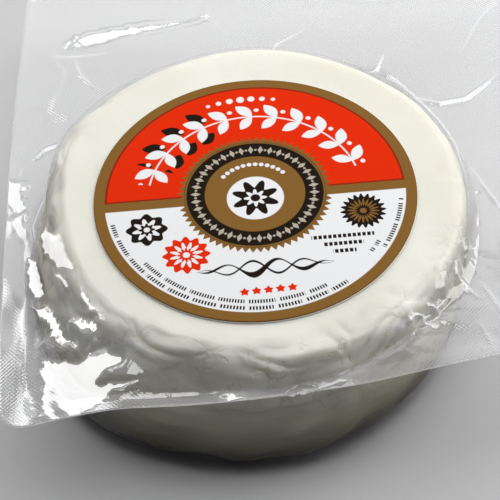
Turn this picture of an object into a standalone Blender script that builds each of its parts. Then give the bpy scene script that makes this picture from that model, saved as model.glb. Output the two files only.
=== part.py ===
"""A wheel of fresh white cheese sealed in a clear vacuum pouch, with a round paper label.

Metres, +Z up. The origin is the centre of the wheel's flat base, +X is to the right
and -Y is the front. The pouch is one closed form: the film lies tight on the wheel
and its two sheets meet in a thin flange that stands out all round, near the top.
"""
import math

import bmesh
import bpy

MM = 0.001

# The cheese wheel, with the film tight on it
WHEEL_HEIGHT = 40.0 * MM
TOP_RADIUS = 58.5 * MM
BASE_RADIUS = 64.7 * MM
TOP_LEAN = (5.7 * MM, 2.0 * MM)
SHOULDER_RADIUS = 3.0 * MM
BASE_ROUNDING = 9.0 * MM
# Hand-made unevenness of the round outline: waves round the wheel, height, phase in degrees
OUTLINE_WAVES = (
    (2, 0.58 * MM, 129.0),
    (3, 0.42 * MM, -39.0),
    (4, 0.33 * MM, 156.0),
    (5, 0.58 * MM, -39.0),
    (6, 0.35 * MM, 150.0),
)

# The pouch's outline: its corners, front left first and then anticlockwise from above,
# and how far the middle of each side stands out past the straight line between them
POUCH_CORNERS = (
    (-63.5 * MM, -62.8 * MM),
    (92.5 * MM, -51.5 * MM),
    (93.2 * MM, 109.0 * MM),
    (-63.7 * MM, 111.4 * MM),
)
SIDE_BOWS = (4.2 * MM, -1.5 * MM, 1.0 * MM, 2.0 * MM)
CORNER_RADIUS = 4.0 * MM

# The flange, where the pouch's two sheets lie together
FLANGE_THICKNESS = 1.0 * MM
FLANGE_HEIGHT = 29.9 * MM
FLANGE_TILT = (0.06, -0.04)
WAVE_HEIGHT = 1.1 * MM
WAVE_LENGTH = 58.0 * MM
GATHER_HEIGHT = 0.7 * MM
GATHERS = 17
TENT_REACH = 0.34
TENT_SHARPNESS = 5

# The paper label, a hair's breadth above the film
LABEL_RADIUS = 44.45 * MM
LABEL_THICKNESS = 0.3 * MM
LABEL_GAP = 0.3 * MM
LABEL_CENTRE = (5.6 * MM, 0.3 * MM)
LABEL_SEGMENTS = 96

# How finely the forms are divided
POINTS_PER_SIDE = 30
POINTS_PER_CORNER = 5
TOP_RINGS = (0.45, 0.8)
SHOULDER_STEPS = 3
DRAPE_STEPS = (0.35, 0.7)
FLANGE_STEPS = (0.0, 0.12, 0.3, 0.5, 0.75, 1.0)
SIDE_STEPS = (0.3, 0.65)
BASE_STEPS = 3


def clear_scene():
    for item in list(bpy.data.objects):
        bpy.data.objects.remove(item, do_unlink=True)


def finish(name, colour, roughness, transmission=0.0):
    material = bpy.data.materials.new(name)
    material.use_nodes = True
    shader = material.node_tree.nodes["Principled BSDF"]
    shader.inputs["Base Color"].default_value = (*colour, 1.0)
    shader.inputs["Roughness"].default_value = roughness
    shader.inputs["Metallic"].default_value = 0.0
    shader.inputs["Transmission Weight"].default_value = transmission
    return material


def unevenness(angle):
    """How far the wheel's outline stands out from a true circle at this angle."""
    return sum(height * math.cos(waves * angle + math.radians(phase))
               for waves, height, phase in OUTLINE_WAVES)


def wheel_centre(z):
    share = z / WHEEL_HEIGHT
    return TOP_LEAN[0] * share, TOP_LEAN[1] * share


def wheel_point(angle, z, inset=0.0):
    """A point on the wheel's leaning, tapering side, or inset towards its middle."""
    share = z / WHEEL_HEIGHT
    radius = BASE_RADIUS + (TOP_RADIUS - BASE_RADIUS) * share + unevenness(angle) - inset
    middle = wheel_centre(z)
    return middle[0] + radius * math.cos(angle), middle[1] + radius * math.sin(angle), z


def straight_side(start, end, bow):
    """Points along one side of the pouch, bowed out, without its two corners."""
    along = (end[0] - start[0], end[1] - start[1])
    length = math.hypot(*along)
    outward = (along[1] / length, -along[0] / length)
    trim = 1.6 * CORNER_RADIUS / length
    points = []
    for step in range(POINTS_PER_SIDE + 1):
        share = trim + (1.0 - 2.0 * trim) * step / POINTS_PER_SIDE
        push = bow * 4.0 * share * (1.0 - share)
        points.append((start[0] + along[0] * share + outward[0] * push,
                       start[1] + along[1] * share + outward[1] * push))
    return points


def rounded_corner(before, corner, after):
    """Points on a smooth curve that cuts the corner between two neighbouring sides."""
    points = []
    for step in range(1, POINTS_PER_CORNER):
        share = step / POINTS_PER_CORNER
        weights = ((1.0 - share) ** 2, 2.0 * share * (1.0 - share), share ** 2)
        points.append(tuple(weights[0] * before[axis] + weights[1] * corner[axis]
                            + weights[2] * after[axis] for axis in (0, 1)))
    return points


def pouch_outline():
    """The pouch's edge from above, anticlockwise from its front left corner."""
    count = len(POUCH_CORNERS)
    sides = [straight_side(POUCH_CORNERS[i], POUCH_CORNERS[(i + 1) % count], SIDE_BOWS[i])
             for i in range(count)]
    outline = []
    for index, side in enumerate(sides):
        outline += side
        following = sides[(index + 1) % count]
        outline += rounded_corner(side[-1], POUCH_CORNERS[(index + 1) % count], following[0])
    return outline


def tent(angle):
    """How much of the flange the film spans as a tent: most towards the corners."""
    reach = 0.0
    for corner in POUCH_CORNERS:
        towards = math.atan2(corner[1], corner[0])
        reach += max(math.cos(angle - towards), 0.0) ** TENT_SHARPNESS
    return TENT_REACH * reach


def flange_height(x, y, outward):
    """Height of the flange's middle: a tilted, gently waving sheet, gathered at its root."""
    level = FLANGE_HEIGHT + FLANGE_TILT[0] * x + FLANGE_TILT[1] * y
    turn = 2.0 * math.pi / WAVE_LENGTH
    wave = WAVE_HEIGHT * math.sin(turn * x + 0.6) * math.cos(turn * y * 0.7 - 0.4)
    angle = math.atan2(y, x)
    gather = GATHER_HEIGHT * math.sin(GATHERS * angle) * (1.0 - outward) * outward * 4.0
    return level + wave * outward + gather


def pouch_rings():
    """Closed rings of points from the middle of the top, over the edge, to the base."""
    outline = pouch_outline()
    root_centre = wheel_centre(FLANGE_HEIGHT)
    angles = [math.atan2(y - root_centre[1], x - root_centre[0]) for x, y in outline]
    shoulder_z = WHEEL_HEIGHT - SHOULDER_RADIUS
    half = FLANGE_THICKNESS / 2.0

    roots = []
    for angle, edge in zip(angles, outline):
        side = wheel_point(angle, FLANGE_HEIGHT)
        reach = tent(angle)
        roots.append((side[0] + (edge[0] - side[0]) * reach,
                      side[1] + (edge[1] - side[1]) * reach))

    rings = []
    for share in TOP_RINGS:
        rings.append([tuple(c + (p - c) * share
                            for c, p in zip(wheel_centre(WHEEL_HEIGHT),
                                            wheel_point(angle, WHEEL_HEIGHT, SHOULDER_RADIUS)))
                      + (WHEEL_HEIGHT,) for angle in angles])
    for step in range(SHOULDER_STEPS + 1):
        turn = 0.5 * math.pi * step / SHOULDER_STEPS
        z = shoulder_z + SHOULDER_RADIUS * math.cos(turn)
        inset = SHOULDER_RADIUS * (1.0 - math.sin(turn))
        rings.append([wheel_point(angle, z, inset) for angle in angles])

    for share in DRAPE_STEPS:
        ring = []
        for angle, root in zip(angles, roots):
            start = wheel_point(angle, shoulder_z)
            root_z = flange_height(*root, 0.0) + half
            fall = 1.0 - (1.0 - share) ** 1.5
            ring.append((start[0] + (root[0] - start[0]) * share,
                         start[1] + (root[1] - start[1]) * share,
                         start[2] + (root_z - start[2]) * fall))
        rings.append(ring)

    for half_sheet, steps in ((half, FLANGE_STEPS), (-half, FLANGE_STEPS[::-1])):
        for outward in steps:
            ring = []
            for root, edge in zip(roots, outline):
                x = root[0] + (edge[0] - root[0]) * outward
                y = root[1] + (edge[1] - root[1]) * outward
                ring.append((x, y, flange_height(x, y, outward) + half_sheet))
            rings.append(ring)

    for share in SIDE_STEPS:
        ring = []
        for angle, root in zip(angles, roots):
            root_z = flange_height(*root, 0.0) - half
            z = root_z + (BASE_ROUNDING - root_z) * share
            side = wheel_point(angle, z)
            left = (1.0 - share) ** 3
            ring.append((side[0] + (root[0] - side[0]) * left,
                         side[1] + (root[1] - side[1]) * left, z))
        rings.append(ring)
    for step in range(BASE_STEPS + 1):
        turn = 0.5 * math.pi * step / BASE_STEPS
        z = BASE_ROUNDING * (1.0 - math.sin(turn))
        inset = BASE_ROUNDING * (1.0 - math.cos(turn))
        rings.append([wheel_point(angle, z, inset) for angle in angles])
    return rings


def add_object(name, mesh, material):
    item = bpy.data.objects.new(name, mesh)
    item.data.materials.append(material)
    bpy.context.scene.collection.objects.link(item)
    return item


def make_pouch():
    rings = pouch_rings()
    work = bmesh.new()
    loops = [[work.verts.new(point) for point in ring] for ring in rings]
    count = len(loops[0])
    for upper, lower in zip(loops, loops[1:]):
        for i in range(count):
            following = (i + 1) % count
            work.faces.new((upper[i], lower[i], lower[following], upper[following]))
    top = work.verts.new((*wheel_centre(WHEEL_HEIGHT), WHEEL_HEIGHT))
    base = work.verts.new((0.0, 0.0, 0.0))
    for i in range(count):
        following = (i + 1) % count
        work.faces.new((top, loops[0][i], loops[0][following]))
        work.faces.new((base, loops[-1][following], loops[-1][i]))
    bmesh.ops.triangulate(work, faces=work.faces[:])
    mesh = bpy.data.meshes.new("sealed_pouch")
    work.to_mesh(mesh)
    work.free()
    mesh.shade_smooth()
    mesh.set_sharp_from_angle(angle=math.radians(50.0))
    return add_object("sealed_pouch", mesh, finish("clear_film", (0.83, 0.83, 0.78), 0.25, 0.3))


def make_label():
    work = bmesh.new()
    bmesh.ops.create_circle(work, cap_ends=True, radius=LABEL_RADIUS, segments=LABEL_SEGMENTS)
    raised = bmesh.ops.extrude_face_region(work, geom=work.faces[:])
    top = [item for item in raised["geom"] if isinstance(item, bmesh.types.BMVert)]
    bmesh.ops.translate(work, verts=top, vec=(0.0, 0.0, LABEL_THICKNESS))
    bmesh.ops.recalc_face_normals(work, faces=work.faces[:])
    mesh = bpy.data.meshes.new("label")
    work.to_mesh(mesh)
    work.free()
    item = add_object("label", mesh, finish("printed_paper", (0.74, 0.10, 0.03), 0.5))
    item.location = (*LABEL_CENTRE, WHEEL_HEIGHT + LABEL_GAP)
    return item


clear_scene()
make_pouch()
make_label()
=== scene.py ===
"""The looks of a vacuum-sealed wheel of fresh white cheese with a round paper label.

The clear film, the cheese in it, and the printed label with its ornaments are modelled
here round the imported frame. Metres, +Z up, -Y is the front.
"""
import math

import bpy
import numpy as np
from mathutils import Matrix, Vector


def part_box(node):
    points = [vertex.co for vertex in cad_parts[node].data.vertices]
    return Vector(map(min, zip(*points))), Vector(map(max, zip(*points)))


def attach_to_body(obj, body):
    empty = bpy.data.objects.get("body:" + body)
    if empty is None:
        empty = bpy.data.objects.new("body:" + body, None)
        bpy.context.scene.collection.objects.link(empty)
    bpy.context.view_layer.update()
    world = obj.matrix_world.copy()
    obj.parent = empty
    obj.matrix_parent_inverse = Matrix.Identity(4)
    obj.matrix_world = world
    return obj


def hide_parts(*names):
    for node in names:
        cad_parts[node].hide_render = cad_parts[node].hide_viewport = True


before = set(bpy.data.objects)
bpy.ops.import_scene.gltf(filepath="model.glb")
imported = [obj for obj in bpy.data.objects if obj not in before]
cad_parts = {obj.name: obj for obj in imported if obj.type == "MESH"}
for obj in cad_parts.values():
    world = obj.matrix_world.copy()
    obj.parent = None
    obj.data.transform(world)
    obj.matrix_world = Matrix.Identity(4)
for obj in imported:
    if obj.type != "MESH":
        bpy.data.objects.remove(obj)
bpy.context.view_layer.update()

MM = 0.001
TURN = 2.0 * math.pi

# The wheel and the pouch, as in the solid model
WHEEL_HEIGHT = 40.0 * MM
TOP_RADIUS = 58.5 * MM
BASE_RADIUS = 64.7 * MM
TOP_LEAN = (5.7 * MM, 2.0 * MM)
SHOULDER_RADIUS = 3.0 * MM
BASE_ROUNDING = 9.0 * MM
OUTLINE_WAVES = (
    (2, 0.58 * MM, 129.0),
    (3, 0.42 * MM, -39.0),
    (4, 0.33 * MM, 156.0),
    (5, 0.58 * MM, -39.0),
    (6, 0.35 * MM, 150.0),
)
POUCH_CORNERS = (
    (-63.5 * MM, -62.8 * MM),
    (92.5 * MM, -51.5 * MM),
    (93.2 * MM, 109.0 * MM),
    (-63.7 * MM, 111.4 * MM),
)
SIDE_BOWS = (4.2 * MM, -1.5 * MM, 1.0 * MM, 2.0 * MM)
CORNER_RADIUS = 4.0 * MM
FLANGE_HEIGHT = 29.9 * MM
FLANGE_TILT = (0.06, -0.04)
WAVE_HEIGHT = 0.45 * MM
WAVE_LENGTH = 58.0 * MM
GATHER_HEIGHT = 0.25 * MM
GATHERS = 17
# How far out the film spans as a tent towards each corner
TENT_REACHES = (0.34, 0.13, 0.10, 0.12)
TENT_SHARPNESS = 5
LABEL_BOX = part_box("label")
LABEL_RADIUS = 0.5 * (LABEL_BOX[1][0] - LABEL_BOX[0][0])
LABEL_CENTRE = (0.5 * (LABEL_BOX[0][0] + LABEL_BOX[1][0]), 0.5 * (LABEL_BOX[0][1] + LABEL_BOX[1][1]))
LABEL_TOP = LABEL_BOX[1][2]
FILM_TOP = WHEEL_HEIGHT + 0.03 * MM
LABEL_TAPER = 0.3 * MM

# Film and cheese, finer than in the solid model
SHEET_HALF = 0.15 * MM
CHEESE_GAP = 0.25 * MM
SEAL_BAND = 6.0 * MM
EDGE_STRIP = 0.4 * MM
UNDER_GAP = 0.5 * MM
DRAPE_BEND = 1.5
FRONT_BEND = 1.1
FILM_COLUMNS = 880
TOP_SHARES = (0.0, 0.3, 0.6, 0.8, 0.88, 0.93, 0.97, 1.0)
# The first row of the film's top that facets may lift
TOP_FREE_ROW = 4
SHOULDER_ROWS = 7
DRAPE_ROWS = 18
FLANGE_ROWS = 50
UNDER_ROWS = 12
SIDE_ROWS = 6
FILM_FOOT_ROWS = 6
LOWEST = -0.12 * MM
LEFT_STRIP = 57.5 * MM
STRIP_UPTURN = 0.05
# How wrinkled the film is away from its slackest corner
CALM = 0.14
# The wheel's middling radius, by which angles round it become lengths
ARC_RADIUS = 62.0 * MM
CHEESE_COLUMNS = 600
CHEESE_SHOULDER = 4.5 * MM
CORNER_ROUNDING = 1.5 * MM
CURD_SIZE = 9.0 * MM
CURD_STRETCH = 2.4
CURD_DEPTH = 1.4 * MM
CURD_WANDER = 7.0 * MM
# The wheel's back and right side are smoother than its front
ROUGH_LEAST = 0.1
ROUGH_TURN = math.radians(35.0)
# How the front edge rides up and down: place along X and lift, in mm
FRONT_LIFTS = (
    (-70.0, -1.2), (-63.0, -1.8), (-57.0, -1.9), (-48.0, 0.6), (-40.0, 2.0), (-32.0, 2.9),
    (-15.0, 0.7), (6.5, -0.6), (30.0, -1.1), (51.0, 0.4), (100.0, 0.4),
)
LIFT_BLUR = [aside * MM for aside in (-4.0, -2.4, -0.8, 0.8, 2.4, 4.0)]
FRONT_EDGE = -60.0 * MM
FRONT_LIFT_REACH = 24.0 * MM
# Slopes along X and Y at which the film mirrors the window, from where each facet lies
WINDOW_SLOPE = (0.205, 0.050)
EDGE_SLOPE = (0.199, 0.104)
FRONT_SLOPE = (0.264, 0.040)
FAR_FRONT_SLOPE = (0.270, 0.040)
# Slopes at which it mirrors the light overhead
GLINT_SLOPE = (0.040, 0.250)
STREAK_SLOPE = (-0.06, 0.320)
# Facets where the slack film lies as a tilted plane: slope, lift, shine, softness of the
# border in mm, and corners in mm, X and Y in turn
FACETS = (
    (WINDOW_SLOPE, 0.5, 0.65, 1.2, (
        -53.5, -43.0, -49.5, -43.5, -42.3, -46.7, -40.2, -44.6, -38.9, -41.8, -34.9, -43.3, -30.9, -47.4,
        -31.7, -50.0, -34.8, -51.2, -38.4, -53.6, -36.4, -55.0, -26.5, -55.4, -33.5, -57.8, -37.3, -60.2,
        -45.0, -66.0, -53.7, -66.0, -53.4, -55.5)),
    (WINDOW_SLOPE, 0.4, 1.0, 1.0, (
        -56.1, -27.6, -50.7, -29.8, -47.0, -34.4, -45.5, -39.0, -42.0, -43.4, -46.8, -40.8, -51.5, -36.0,
        -54.8, -31.2)),
    (WINDOW_SLOPE, 0.3, 0.8, 1.2, (
        -58.4, -7.5, -55.3, -10.8, -53.3, -15.3, -52.2, -22.2, -54.4, -23.4, -56.8, -21.1, -58.3, -16.4)),
    (WINDOW_SLOPE, 0.4, 0.8, 1.6, (
        -51.6, -5.5, -47.2, -12.5, -45.4, -17.1, -43.4, -21.8, -48.5, -22.2, -52.4, -16.0, -54.2, -9.0)),
    (WINDOW_SLOPE, 0.2, 0.8, 1.2, (-49.6, -22.0, -47.6, -21.4, -44.4, -25.4, -46.2, -27.4)),
    (WINDOW_SLOPE, 0.1, 0.9, 0.9, (-41.6, -28.7, -39.7, -30.7, -36.0, -39.9, -38.0, -39.5, -40.8, -34.5)),
    (WINDOW_SLOPE, 0.3, 1.0, 0.9, (
        -45.7, -37.2, -40.8, -36.8, -37.3, -39.0, -37.6, -42.2, -40.1, -43.5, -42.5, -41.1)),
    (EDGE_SLOPE, 0.2, 0.25, 4.0, (-66.5, 24.6, -60.8, 23.0, -60.0, 10.4, -65.0, 11.2)),
    (EDGE_SLOPE, 0.3, 0.25, 3.0, (-62.5, 10.0, -60.2, 10.4, -59.6, 0.5, -62.0, 2.8)),
    (STREAK_SLOPE, 0.4, 0.35, 3.0, (
        -49.9, 82.2, -47.8, 85.2, -36.7, 87.7, -6.6, 90.0, -6.0, 88.4, -30.4, 83.3, -39.8, 81.0)),
    (GLINT_SLOPE, 0.0, 0.3, 1.2, (52.5, -31.1, 54.5, -30.0, 54.9, -32.3, 53.5, -35.2, 51.1, -35.9)),
    (GLINT_SLOPE, 0.0, 0.3, 1.2, (56.2, -26.7, 57.6, -26.3, 58.2, -30.3, 56.6, -31.3)),
    (GLINT_SLOPE, 0.0, 0.3, 1.2, (42.9, -43.4, 45.4, -42.1, 46.3, -43.5, 43.8, -44.9)),
    (GLINT_SLOPE, 0.0, 0.3, 1.2, (47.7, -39.6, 50.6, -39.1, 50.1, -40.7, 48.2, -40.9)),
    (GLINT_SLOPE, 0.0, 0.25, 1.2, (59.2, -19.6, 60.5, -18.7, 61.0, -23.8, 60.1, -25.0)),
    (FRONT_SLOPE, 0.1, 0.7, 1.2, (-5.2, -61.0, -2.6, -59.8, 0.8, -63.5, -4.5, -63.5)),
    (FAR_FRONT_SLOPE, 0.2, 0.0, 1.2, (10.8, -61.3, 13.9, -59.8, 22.9, -59.0, 27.9, -59.9, 21.5, -61.1)),
)
# The pale crease along a fold, a painted highlight, and the fold height from which it is at its palest
CREASE_HALF = 0.75 * MM
SHARP_FOLD = 0.6
FACET_RAGGED = 0.4 * MM
FACET_GRAIN = 0.01 * MM
FACET_SPREAD = 0.3 * MM
FACET_CLEARANCE = 0.06 * MM
LEAST_CLEARANCE = 0.02 * MM
# Towards this corner the film spans the gap beside the wheel further out
SLACK_TURN = math.radians(220.0)
SLACK_SPREAD = math.radians(58.0)
SLACK_REACH = 0.34
# Kinds of pleats at the wheel's shoulder: seed, count, heights, half widths and reaches
PLEATS = (
    (11, 70, (0.2 * MM, 0.6 * MM), (0.7 * MM, 1.8 * MM), (4.0 * MM, 12.0 * MM)),
    (12, 14, (0.3 * MM, 0.8 * MM), (1.6 * MM, 4.0 * MM), (10.0 * MM, 30.0 * MM)),
)
# Creased cells in the film: spacing, height and seed
CRUMPLES = ((8.0 * MM, 1.1 * MM, 21), (4.0 * MM, 0.35 * MM, 22))
FILM_BOUNDS = ((-70.0 * MM, -70.0 * MM), (98.0 * MM, 116.0 * MM))
# Folds that stand up as sharp ridges, in mm: height, half width, and the line, X and Y in turn
FOLDS = (
    (0.8, 1.3, (54.2, 41.9, 61.2, 38.6, 68.6, 39.2, 73.5, 43.2, 79.5, 48.8)),
    (0.15, 1.6, (-53.8, 76.2, -50.5, 70.1, -51.2, 64.2, -53.9, 53.4)),
    (0.35, 1.4, (-47.5, 75.2, -45.8, 67.9, -40.3, 60.2)),
    (-0.35, 2.0, (-54.8, 77.8, -46.0, 76.8, -36.6, 77.2)),
    (0.7, 1.3, (-58.2, 32.6, -55.4, 36.4, -50.9, 38.5)),
    (0.7, 1.0, (-50.5, 26.6, -53.6, 19.7, -55.8, 12.0, -57.5, 5.2, -56.5, -1.5)),
    (0.6, 1.2, (61.9, 18.0, 62.9, 10.3, 63.6, 2.7)),
    (0.35, 0.9, (63.9, -31.3, 67.3, -40.4, 69.8, -48.0)),
    (0.3, 1.1, (66.4, 11.3, 69.4, 3.0, 72.4, -5.1, 76.0, -14.0)),
    (0.25, 1.0, (61.5, -45.1, 64.4, -55.4)),
    (0.5, 0.9, (54.5, -26.0, 59.2, -31.8, 62.2, -36.3)),
    (0.6, 1.2, (28.9, -50.3, 38.8, -46.6, 49.2, -41.6, 54.0, -36.0)),
    (0.8, 1.1, (42.7, -42.0, 45.9, -43.2, 50.2, -44.2)),
    (0.7, 1.0, (17.4, -52.3, 21.3, -51.3, 25.1, -52.9)),
    (0.9, 1.2, (-32.7, -43.9, -26.9, -47.2, -21.8, -50.9)),
    (0.7, 1.1, (
        -49.9, -9.1, -46.0, -18.2, -41.4, -27.2, -38.2, -32.8, -36.4, -38.0, -30.4, -41.4, -23.4, -45.0)),
    (0.5, 1.0, (-54.4, -39.8, -52.3, -38.7, -50.4, -39.3, -49.8, -41.4)),
    (0.6, 1.2, (40.0, 52.0, 44.5, 56.0, 47.0, 62.0)),
    (0.5, 1.1, (12.0, 66.0, 15.0, 72.0, 24.0, 78.0)),
    (0.5, 1.1, (-14.0, 62.5, -15.5, 67.0)),
    (0.25, 2.2, (70.0, 60.0, 78.0, 75.0, 90.0, 88.0)),
    (0.25, 2.4, (20.0, 95.0, 48.0, 88.0, 75.0, 92.0)),
)

# The camera looks at the label's middle, which lies off the middle of the photo's frame
CAMERA_DISTANCE = 457.8 * MM
CAMERA_ELEVATION = math.radians(48.0)
CAMERA_ROLL = math.radians(3.6)
FOCAL_PIXELS = 1672.0
LOOK_OFFSET_PIXELS = (8.5, 56.4)
FRAME_PIXELS = 500.0
SENSOR = 36.0

# Softboxes that face the wheel: name, azimuth, elevation, distance, size and power
SOFTBOXES = (
    ("back_key", 52.0, 79.0, 0.70, (0.42, 0.36), 2.10),
    ("left_window", 130.5, 47.0, 0.60, (0.18, 0.27), 0.62),
    ("right_fill", 27.0, 48.0, 0.78, (0.48, 0.42), 2.50),
    ("back_wall", 82.0, 36.0, 0.62, (1.60, 0.42), 2.50),
    ("low_right", 6.0, 22.0, 0.70, (0.40, 0.30), 0.85),
    ("left_fill", 174.0, 60.0, 0.70, (0.40, 0.40), 0.18),
)
SKY_COLOUR = (0.92, 0.95, 1.0)
SKY_STRENGTH = 0.05

# The label's print, in shares of its radius, with spans round it in degrees
PRINT_TURN = math.radians(1.6)
RIM_INNER = 0.927
BAND_PLACE = -0.026
BAND_HALF = 0.035
SEAL_RADIUS = 0.478
SEAL_TOOTH = 0.036
SEAL_TEETH = 64
RING_OUTER = 0.423
RING_INNER = 0.31
RING_BEADS = 38.0
DISC_RADIUS = 0.176
DISC_PLACE = (0.0, -0.038)
CROWN_RADIUS = 0.243
CROWN_SPAN = (36.0, 144.0)
PRINT_SOFTNESS = 0.0035
STAR_SLOPE = math.tan(math.radians(36.0)) * 2.1
GARLAND_RADIUS = 0.66
GARLAND_PAIRS = 26.0
GARLAND_SPAN = (14.0, 168.0)
DARK_LEAF_SPAN = (112.0, 156.0)
PEARL_RADIUS = 0.82
PEARL_SPAN = (75.0, 110.0)
RULED_PLACE = (0.50, -0.40)
RULED_STEP = 0.058
RULED_HALVES = (0.19, 0.12, 0.07)
FLOURISH_PLACE = (0.02, -0.592)
FLOURISH_HALF = 0.41
STAR_COUNT = 5
STAR_SIZE = 0.032
STAR_ENDS = ((-0.118, -0.770), (0.165, -0.762))
# Arcs of fine dashes: radius, half width, dashes and groups per radian, span clockwise
DASH_ARCS = (
    (0.897, 0.0135, 47.0, 5.3, (9.0, 170.0)),
    (0.848, 0.0135, 51.0, 4.7, (33.0, 146.0)),
)

RED = (0.655, 0.026, 0.0045)
GOLD = (0.205, 0.103, 0.026)
PAPER = (0.73, 0.735, 0.74)
INK = (0.016, 0.011, 0.008)
BEIGE = (0.42, 0.37, 0.30)
CUT_PAPER = (0.92, 0.89, 0.82)
RIM_SHADE = (0.10, 0.022, 0.010)
# The seal's flower on its disc, from the outside in: size, petals, depth, turn, colour
SEAL_FLOWER = (
    (DISC_RADIUS, 1, 0.0, 0.0, PAPER),
    (0.148, 8, 0.42, 0.4, INK),
    (0.072, 8, 0.45, 0.0, PAPER),
    (0.030, 1, 0.0, 0.0, INK),
)
# Rings of a round ornament, from the outside in: share of its size, depth of petals, turn
ROSETTE_RINGS = ((1.0, 0.20, 0.0), (0.70, 0.45, 0.2), (0.40, 0.35, 0.0), (0.15, 0.0, 0.0))
# Round ornaments: place, size, petals, and the two colours that their rings take in turn
ROSETTES = (
    ((-0.675, -0.225), 0.128, 8, INK, PAPER),
    ((-0.445, -0.450), 0.145, 12, RED, PAPER),
    ((0.645, -0.215), 0.140, 20, INK, GOLD),
)

# The film's share of mirrored light seen head on and at a grazing view, and its roughness
FREE_SHINE = 0.08
FACET_SHINE = 0.14
TIGHT_SHINE = 0.035
GRAZING_SHINE = 0.6
FREE_ROUGHNESS = 0.05
TIGHT_ROUGHNESS = 0.30
# How far beside the wheel the film counts as free, and the heights where its shine comes out of a painted
# shade near the floor
FREE_FROM = 3.0 * MM
SHADED_FOOT = (2.0 * MM, 15.0 * MM)
# How milky the film is: free, tight on the wheel, slack round one place, hatched and creased; the milky
# white along the creases is a painted highlight
FREE_VEIL = 0.08
TIGHT_VEIL = 0.02
SLACK_VEIL = 0.17
SLACK_PLACE = (-42.0 * MM, -41.0 * MM)
SLACK_FADE = (5.0 * MM, 25.0 * MM)
HATCH_VEIL = 0.26
CREASE_HIGHLIGHT_VEIL = 0.75
HATCH_PITCH = 1.15 * MM
HATCH_START = (4.0 * MM, 12.0 * MM)
EMBOSS_DEPTH = 0.010 * MM
DRIFT_DEPTH = 0.06 * MM

# The cheese's colours: its body, pits, painted shade in the crevices, painted shade on the lower side,
# pale streaks there, and a painted contact shadow at the foot
CHEESE_DULL = (0.715, 0.70, 0.61)
CHEESE_PALE = (0.77, 0.76, 0.685)
PIT_COLOUR = (0.55, 0.53, 0.43)
CREVICE_SHADE_COLOUR = (0.50, 0.475, 0.37)
LOW_SIDE_SHADE_COLOUR = (0.36, 0.33, 0.20)
STREAK_COLOUR = (0.50, 0.48, 0.38)
FOOT_SHADOW_COLOUR = (0.035, 0.03, 0.016)
LOW_SIDE_SHADE_FADE = (9.0 * MM, 35.0 * MM)
FOOT_SHADOW_FADE = (5.0 * MM, 17.0 * MM)
CREVICE_SCALE = 190.0
CREVICE_HALF = 0.13
CREVICE_RIM = (49.0 * MM, 58.0 * MM)
CREVICE_LOW = (14.0 * MM, 26.0 * MM)
CREVICE_FRONT = (-38.0 * MM, -14.0 * MM)


def operator(operation):
    """A way to write this shader sum between a value and another value or number."""
    return lambda value, other: value.maths(operation, other)


class Value:
    """A shader socket that can be used in plain arithmetic."""

    def __init__(self, finish, socket):
        self.finish = finish
        self.socket = socket

    def maths(self, operation, *others):
        values = dict(enumerate((self, *others)))
        return self.finish.node("Math", {"operation": operation}, values)

    __add__ = __radd__ = operator("ADD")
    __mul__ = __rmul__ = operator("MULTIPLY")
    __sub__ = operator("SUBTRACT")
    __truediv__ = operator("DIVIDE")
    __pow__ = operator("POWER")
    # 1 where this is more, or less, than the limit, otherwise 0
    over = operator("GREATER_THAN")
    under = operator("LESS_THAN")

    def __rsub__(self, other):
        return (self * -1.0) + other

    def clipped(self):
        return self.finish.node("Clamp", {}, {"Value": self})

    def rise(self, start, end):
        """A soft step from 0 at start to 1 at end."""
        settings = {"interpolation_type": "SMOOTHSTEP"}
        limits = {"Value": self, "From Min": start, "From Max": end}
        return self.finish.node("MapRange", settings, limits)


class Finish:
    """A material with its node tree."""

    def __init__(self, name):
        self.material = bpy.data.materials.new(name)
        self.material.use_nodes = True
        self.tree = self.material.node_tree
        self.tree.nodes.clear()
        self.output = self.tree.nodes.new("ShaderNodeOutputMaterial")

    def node(self, kind, settings, sockets, out=0):
        """Adds a node, with its settings first and then its sockets' values or links."""
        made = self.tree.nodes.new("ShaderNode" + kind)
        for name, setting in settings.items():
            setattr(made, name, setting)
        for name, given in sockets.items():
            if isinstance(given, Value):
                self.tree.links.new(given.socket, made.inputs[name])
            elif made.inputs[name].type == "RGBA":
                made.inputs[name].default_value = (*given, 1.0)
            else:
                made.inputs[name].default_value = given
        return Value(self, made.outputs[out])

    def place(self):
        """The object coordinates, in metres."""
        return self.node("TexCoord", {}, {}, "Object")

    def parts(self, vector):
        apart = self.node("SeparateXYZ", {}, {"Vector": vector}).socket.node
        return [Value(self, apart.outputs[axis]) for axis in (0, 1, 2)]

    def mix(self, mask, below, above):
        """The colour below where mask is 0 and the colour above where it is 1."""
        sockets = {0: mask, 6: below, 7: above}
        return self.node("Mix", {"data_type": "RGBA"}, sockets, 2)

    def drawn(self, name):
        """A value that the mesh carries at its points."""
        return self.node("Attribute", {"attribute_name": name}, {}, "Fac")

    def noise(self, vector, scale, detail=2.0, roughness=0.5):
        sockets = {"Vector": vector, "Scale": scale, "Detail": detail, "Roughness": roughness}
        return self.node("TexNoise", {}, sockets)

    def bump(self, height, distance, strength=1.0):
        sockets = {"Height": height, "Distance": distance, "Strength": strength}
        return self.node("Bump", {}, sockets)

    def surface(self, shader):
        self.tree.links.new(shader.socket, self.output.inputs["Surface"])
        return self.material


def hypot(across, up):
    return (across * across + up * up) ** 0.5


def principled(finish, sockets):
    return finish.node("BsdfPrincipled", {}, sockets)


def film_normal(film, place, emboss, taut):
    """The film's fine emboss, calm where it is taut, on its slow drift."""
    embossed = film.bump(emboss * (1 - taut * 1.4).clipped(), EMBOSS_DEPTH)
    drift = film.noise(place, 55.0, 3.0, 0.55)
    sockets = {"Height": drift, "Distance": DRIFT_DEPTH, "Strength": 0.4, "Normal": embossed}
    return film.node("Bump", {}, sockets)


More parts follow.
